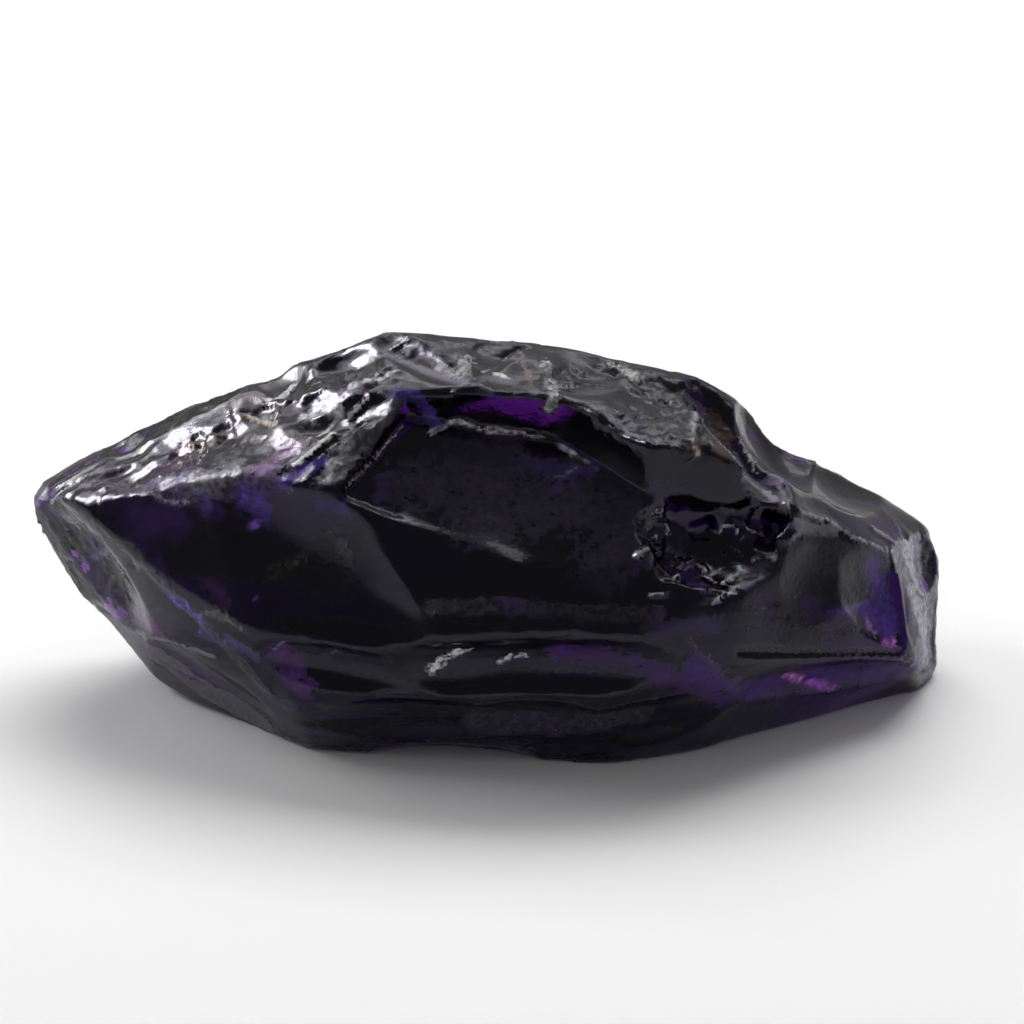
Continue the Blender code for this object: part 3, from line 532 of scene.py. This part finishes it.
STREAKS = [  # combed striations: (a path, their reach, the way they run, their spacing, their height)
    ([(-28, 0.5, 15), (-22, 0.5, 17.5)], 3.5, (0.86, 0.1, 0.5), 0.6, 0.12),
    ([(-27.2, 0.6, 11.2), (-24.8, -0.3, 8.1)], 3, (0.6, -0.7, 0.1), 0.7, 0.09),
    ([(-25.8, 2.2, 4.2), (-22, -2, 4), (-15.1, -5.4, 0.7)], 2.8, (0.75, -0.55, -0.35), 0.7, 0.06),
    ([(-12, -9.5, 3.5), (0, -10.4, 3.6), (12, -10, 4)], 3, (1, -0.1, 0), 0.8, 0.06),
    ([(-10, -10.5, 9), (4, -11.8, 9.5), (14, -11.5, 8.5)], 2.5, (1, 0, 0), 0.9, 0.05),
    ([(17, -8, 12), (25, -3.5, 9)], 3, (0.85, 0.45, -0.3), 0.8, 0.04),
    ([(28, 1.8, 10.2), (29.3, -0.3, 3.4)], 3, (0.1, 0.2, 1), 0.7, 0.08),
    ([(-16, 9.6, 12), (-6, 12.5, 12)], 5, (0.9, 0.3, 0.1), 0.9, 0.08),
    ([(10, 12.5, 11), (20, 11, 8)], 5, (0.8, -0.3, -0.3), 0.9, 0.08),
]
GRAIN = [  # broken zones on the sides that face away: (a path, their reach, the height of their grain)
    ([(-30.6, 2.5, 13.4), (-30, 4.6, 10), (-28.6, 4.8, 7)], 1.3, 0.1),
    ([(6, 12.6, 14.5), (-6, 12.8, 15)], 2.4, 0.14),
    ([(-16, 9.6, 9), (-12, 12, 12)], 2.4, 0.14),
    ([(17, 10.5, 9), (23, 10, 6)], 2.6, 0.14),
    ([(30, 4, 8), (30.4, 6, 4)], 2.4, 0.1),
    ([(-8, 7, 22.5), (-2, 8, 21), (8, 8, 20)], 2.4, 0.12),
]
RIPPLES = [  # (where the blow fell, the middle of the ripples, their reach, spacing, height)
    ((-24, -1, 17.5), (-10, -8, 14), 9, 1.5, 0.012),
    ((27, 0, 12), (22, -4, 9), 5.5, 1.0, 0.016),
    ((5, -4, 23), (3, -8, 17), 7, 1.7, 0.010),
    ((12, 0, 23), (16, 0, 19.5), 4, 0.8, 0.016),
    ((-26, 9, 13), (-20, 9.5, 9), 8, 1.2, 0.016),
    ((-14, 13, 16), (-6, 12.5, 11), 8, 1.4, 0.018),
    ((14, 13, 15), (7, 13, 10), 8, 1.3, 0.016),
    ((-18, 6, 21), (-10, 8.5, 19.5), 8, 1.2, 0.014),
    ((12, 6, 23), (5, 8.5, 20), 8, 1.4, 0.014),
    ((28, 8, 12), (20, 11, 7), 8, 1.2, 0.016),
]

speckle = 0.6 * swell(at, 0.5, 101) + 0.4 * swell(at, 0.27, 102)
hue = np.tile(BARE_HUE, (count, 1))
cover = np.zeros(count)
rough = np.full(count, BARE_ROUGHNESS)
broken = np.full(count, BARE_BREAKUP)
relief = np.zeros(count)
lift = np.zeros(count)


def lay(share, colour, breakup, roughness):
    """Lay a colour and a surface over the skin, as far as each point's share says."""
    global hue, cover, rough, broken
    hue += share[:, None] * (np.array(colour) - hue)
    cover = np.maximum(cover, share)
    rough = rough + share * (roughness - rough)
    broken = broken + share * (breakup - broken)


patchy = 0.5 + 0.5 * swell(at, 1.2, 91)  # worn patches along the ridges
lay(broad_ridge * smooth(0.45, 0.85, patchy) * 0.8, (0.1, 0.098, 0.12), 1.0, 0.4)
for path, radius, height in GRAIN:
    zone = near(at, path, 1.7 * radius) * smooth(-0.4, 0.5, swell(at, 2.6, 93))
    relief = np.maximum(relief, zone * height * 0.8)
    lay(smooth(0.1, 0.6, zone) * 0.9, (0.025, 0.022, 0.034), 0.9, 0.28)
for name, path, radius, colour, opacity, breakup, roughness, height in MARKS:
    # the marks of the right end stay on its own face
    facing = smooth(0.72, 0.86, normal[:, 0]) if name.startswith("end") else 1.0
    zone = near(at, path, radius) * facing
    if any(word in name for word in SOFT_MARKS):
        zone = near(at, path, SOFT_REACH * radius) * facing
        share = zone * (0.75 + 0.5 * speckle) * opacity
    else:
        share = smooth(0.12, 0.5 + 0.1 * breakup, zone + 0.45 * breakup * speckle * (zone > 0)) * opacity
    lay(share, colour, breakup, roughness)
    relief = np.maximum(relief, smooth(0, 0.5, zone) * height)
    lift += near(at, path, max(radius, 0.45)) * LIFTS.get(name, 0)

# ---------------------------------------------------------------- relief

# the broken upper left face: glossier, in large shards, calmer towards the tip
shards = near(at, [(-25, 0.5, 16.5), (-16, 0, 20), (-9, -1, 22.5)], 6) * smooth(0.2, 0.5, normal[:, 2])
rough = rough * (1 - 0.5 * shards)
shards *= 1 - 0.7 * near(at, [(-28, 0.5, 15), (-22, 0.8, 17.5)], 4)
height = 0.02 * swell(at, 2.3, 61) + 0.008 * swell(at, 0.9, 62) + lift  # faint unevenness everywhere
height += relief * (0.9 * chips(at, 0.65, 11) + 1.3 * chips(at, 1.3, 31))
height += shards * (0.17 * chips(at, 2.6, 41) + 0.05 * chips(at, 1.2, 43) + 0.35 * swell(at, 4.5, 64))
for number, (path, reach, direction, spacing, rise) in enumerate(STREAKS):
    streaks = swell(combed(at, direction, 7), spacing, 160 + number)
    height += rise * near(at, path, reach) * streaks
pit = near(at, [(11, -8.5, 15.5), (14.5, -7, 15), (17.5, -6, 14.8)], 3.4)
height += pit * (0.4 * chips(at, 2.3, 45) + 0.16 * chips(at, 1.1, 47))
nicks = np.maximum(chips(at, 1.7, 131) - 0.25, 0)  # the ridges are nicked, and worn down unevenly
height -= ridge * (0.45 * nicks * smooth(-0.2, 0.3, swell(at, 3.1, 133)))
height -= ridge * (0.035 + 0.05 * np.abs(chips(at, 0.9, 51))) * smooth(-0.5, 0.4, swell(at, 2.2, 71))
for blow, middle, reach, spacing, rise in RIPPLES:
    out = np.linalg.norm(at - np.array(blow), axis=1) + 0.5 * swell(at, 4, 81)
    fade = smooth(0, 1, 1 - np.linalg.norm(at - np.array(middle), axis=1) / reach)
    height += rise * fade * np.sin(2 * math.pi * out / spacing) * (relief < 0.03)

# the foot stays flat, and nothing passes the solid's box
height *= 1 - on_foot
worn = at + (soft - at) * (0.2 * broad_ridge * (1 - on_foot))[:, None]
placed = worn + normal * height[:, None]
low, high = (np.array(corner) / MM for corner in cad_box)
placed = np.clip(placed, low, high)
skin.data.vertices.foreach_set("co", (placed * MM).astype(np.float32).ravel())
skin.data.update()
skin.data.shade_smooth()


def store(name, values):
    """Keep a number for each point, where the materials can read it."""
    layer = skin.data.attributes.new(name, "FLOAT", "POINT")
    layer.data.foreach_set("value", np.clip(values, 0, 1.4).astype(np.float32))


colours = skin.data.attributes.new("hue", "FLOAT_COLOR", "POINT")
colours.data.foreach_set("color", np.column_stack([hue, np.ones(count)]).astype(np.float32).ravel())
store("rough", rough)
store("broken", broken)
# the points that get the marks' material: real scuffs, and also painted highlights, painted glow and
# painted shade
wear_and_painted_light = cover + 0.1 * speckle > WEAR_AND_PAINTED_LIGHT_FROM

# ---------------------------------------------------------------- materials


def new_material(name):
    material = bpy.data.materials.new(name)
    material.use_nodes = True
    return material, material.node_tree.nodes, material.node_tree.links


def attribute(nodes, name, output="Fac"):
    node = nodes.new("ShaderNodeAttribute")
    node.attribute_name = name
    return node.outputs[output]


def put(links, value, socket):
    """Link another node's output to a socket, or set the socket to a plain value."""
    if hasattr(value, "is_linked"):
        links.new(value, socket)
    else:
        socket.default_value = value


def maths(nodes, links, operation, *values):
    node = nodes.new("ShaderNodeMath")
    node.operation = operation
    for socket, value in zip(node.inputs, values):
        put(links, value, socket)
    return node.outputs[0]


def vector_maths(nodes, links, operation, *values):
    node = nodes.new("ShaderNodeVectorMath")
    node.operation = operation
    for socket, value in values:
        put(links, value, node.inputs[socket])
    return node.outputs[0]


def between(nodes, links, low, high, value):
    """The value, kept from low to high."""
    value = maths(nodes, links, "MINIMUM", value, high)
    return maths(nodes, links, "MAXIMUM", value, low)


def noise(nodes, links, scale, detail):
    coords = nodes.new("ShaderNodeTexCoord")
    node = nodes.new("ShaderNodeTexNoise")
    node.inputs["Scale"].default_value = scale
    node.inputs["Detail"].default_value = detail
    links.new(coords.outputs["Object"], node.inputs["Vector"])
    return node.outputs["Fac"]


def stone(name, transmission, bump_depth):
    """What both of the stone's materials share. Colour, roughness and bump strength are still to be set."""
    material, nodes, links = new_material(name)
    bsdf = nodes["Principled BSDF"]
    bsdf.inputs["IOR"].default_value = IOR
    bsdf.inputs["Specular Tint"].default_value = MIRROR_TINT
    bsdf.inputs["Transmission Weight"].default_value = transmission
    bump = nodes.new("ShaderNodeBump")
    bump.inputs["Distance"].default_value = bump_depth
    links.new(noise(nodes, links, BUMPS, 5), bump.inputs["Height"])
    links.new(bump.outputs[0], bsdf.inputs["Normal"])
    absorb = nodes.new("ShaderNodeVolumeAbsorption")
    absorb.inputs["Color"].default_value = INNER_VIOLET
    absorb.inputs["Density"].default_value = ABSORPTION
    links.new(absorb.outputs[0], nodes["Material Output"].inputs["Volume"])
    return material, nodes, links, bsdf, bump


def glassy():
    """Clean broken glass."""
    material, nodes, links, bsdf, bump = stone("violet_glass", 1.0, 0.06 * MM)
    bsdf.inputs["Base Color"].default_value = (0.93, 0.9, 0.95, 1)
    haze = maths(nodes, links, "MULTIPLY_ADD", noise(nodes, links, HAZE, 3), 0.14, 0.02)
    links.new(haze, bsdf.inputs["Roughness"])
    bump.inputs["Strength"].default_value = 0.35
    return material


def wear_and_painted_light_glass():
    """Scuffed glass with the marks' colours, which include painted highlights, glints, painted glow and
    painted shade, broken up by fine flecks and faint violet clouds.
    """
    material, nodes, links, bsdf, bump = stone("violet_wear_and_painted_light", 0.5, 0.09 * MM)
    bsdf.inputs["Specular IOR Level"].default_value = 0.3
    fleck = noise(nodes, links, FLECKS, 6)
    contrast = maths(nodes, links, "MULTIPLY_ADD", fleck, 5.0, -1.7)
    contrast = between(nodes, links, 0.12, 1.7, contrast)
    offset = maths(nodes, links, "SUBTRACT", contrast, 1.0)
    share = maths(nodes, links, "MULTIPLY_ADD", offset, attribute(nodes, "broken"), 1.0)
    share = maths(nodes, links, "MAXIMUM", share, 0.0)
    color = vector_maths(nodes, links, "SCALE", (0, attribute(nodes, "hue", "Color")), ("Scale", share))
    cloud = maths(nodes, links, "MULTIPLY_ADD", noise(nodes, links, CLOUDS, 5), 7.0, -3.8)
    cloud = between(nodes, links, 0.0, 1.0, cloud)
    color = vector_maths(nodes, links, "MULTIPLY_ADD", (0, CLOUD_VIOLET), (1, cloud), (2, color))
    links.new(color, bsdf.inputs["Base Color"])
    rough = maths(nodes, links, "MULTIPLY_ADD", fleck, 0.2, -0.1)
    rough = maths(nodes, links, "ADD", rough, attribute(nodes, "rough"))
    links.new(rough, bsdf.inputs["Roughness"])
    links.new(maths(nodes, links, "MULTIPLY", attribute(nodes, "rough"), 1.4), bump.inputs["Strength"])
    return material


skin.data.materials.clear()
skin.data.materials.append(glassy())
skin.data.materials.append(wear_and_painted_light_glass())
corners = np.empty(len(skin.data.loops), dtype=np.int32)
skin.data.loops.foreach_get("vertex_index", corners)
starts = np.empty(len(skin.data.polygons), dtype=np.int32)
skin.data.polygons.foreach_get("loop_start", starts)
has_wear_and_painted_light = wear_and_painted_light[corners[starts]]
skin.data.polygons.foreach_set("material_index", has_wear_and_painted_light.astype(np.int32))
skin.data.update()

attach(skin, "root")
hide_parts("rough_sapphire")

# ---------------------------------------------------------------- floor, light and camera


bpy.ops.mesh.primitive_plane_add(size=6, location=(0, 1.5, 0))
floor = bpy.context.object
floor.name = "floor"
paper, paper_nodes, _ = new_material("paper")
paper_nodes["Principled BSDF"].inputs["Base Color"].default_value = (0.83, 0.83, 0.835, 1)
paper_nodes["Principled BSDF"].inputs["Roughness"].default_value = 0.9
floor.data.materials.append(paper)


def soft_light(name, azimuth, elevation, distance, size, power):
    """A lamp that looks at the stone, its azimuth counted from straight behind. Mirror-like
    reflections don't show it."""
    a, e = math.radians(azimuth), math.radians(elevation)
    back = Vector((math.sin(a) * math.cos(e), math.cos(a) * math.cos(e), math.sin(e)))
    lamp = bpy.data.lights.new(name, "AREA")
    lamp.shape = "RECTANGLE"
    lamp.size, lamp.size_y = size
    lamp.energy = power
    light = bpy.data.objects.new(name, lamp)
    light.location = back * distance
    light.visible_glossy = False
    light.rotation_euler = back.to_track_quat("Z", "Y").to_euler()
    bpy.context.scene.collection.objects.link(light)


soft_light("window", 14, 60, 0.36, (0.38, 0.17), 1.35)
soft_light("left_card", -77, 38, 0.34, (0.16, 0.12), 0.28)

# The world is the room that the stone mirrors. It lights matt surfaces evenly, at FILL.
DIM_ROOM, BACK_WALL, LEFT_GLOW = 0.2, 3.0, 36.0
FILL = 0.28
world = bpy.data.worlds.new("studio")
bpy.context.scene.world = world
world.use_nodes = True
world.cycles.sampling_method = "NONE"  # or the left glow would light the floor
nodes, links = world.node_tree.nodes, world.node_tree.links
coords = nodes.new("ShaderNodeTexCoord")


def along(direction):
    """The cosine of the angle between a ray and a direction."""
    dot = nodes.new("ShaderNodeVectorMath")
    dot.operation = "DOT_PRODUCT"
    dot.inputs[1].default_value = direction
    links.new(coords.outputs["Generated"], dot.inputs[0])
    return dot.outputs["Value"]


def levels(value, *stops):
    """Brightness read off a ramp of (value, brightness) stops."""
    ramp = nodes.new("ShaderNodeValToRGB")
    ramp.color_ramp.interpolation = "EASE"
    while len(ramp.color_ramp.elements) < len(stops):
        ramp.color_ramp.elements.new(0.5)
    for element, (position, level) in zip(ramp.color_ramp.elements, stops):
        element.position = position
        element.color = (level, level, level, 1)
    links.new(value, ramp.inputs[0])
    return ramp.outputs[0]


back_wall = levels(along((0, 0, 1)), (0, 0.09), (0.45, 0.1), (0.6, 0.22), (0.72, 0.85), (0.84, 0.3),
                   (0.92, 0.08), (0.99, 0.03))
behind = levels(along((0, 1, 0)), (0.0, 0), (0.5, 1))
left_glow = levels(along((-0.77, 0.18, 0.61)), (0.82, 0), (0.94, 0.12), (0.988, 1))
room = maths(nodes, links, "MULTIPLY", back_wall, behind)
room = maths(nodes, links, "MULTIPLY_ADD", room, BACK_WALL, DIM_ROOM)
room = maths(nodes, links, "MULTIPLY_ADD", left_glow, LEFT_GLOW, room)
paths = nodes.new("ShaderNodeLightPath")
fill = nodes.new("ShaderNodeMix")
links.new(paths.outputs["Is Diffuse Ray"], fill.inputs["Factor"])
links.new(room, fill.inputs["A"])
fill.inputs["B"].default_value = FILL
links.new(fill.outputs["Result"], nodes["Background"].inputs["Strength"])
nodes["Background"].inputs["Color"].default_value = (1, 1, 1, 1)

scene = bpy.context.scene
scene.view_settings.view_transform = "Standard"

AIM = Vector((1.4442, -0.5292, 13.94)) * MM
DISTANCE = 187 * MM
TILT = math.radians(25)
back = Vector((0, -math.cos(TILT), math.sin(TILT)))
data = bpy.data.cameras.new("camera")
data.lens = 100
data.sensor_width = 36
data.clip_start = 0.005
camera = bpy.data.objects.new("camera", data)
camera.location = AIM + back * DISTANCE
camera.rotation_euler = back.to_track_quat("Z", "Y").to_euler()
scene.collection.objects.link(camera)
scene.camera = camera
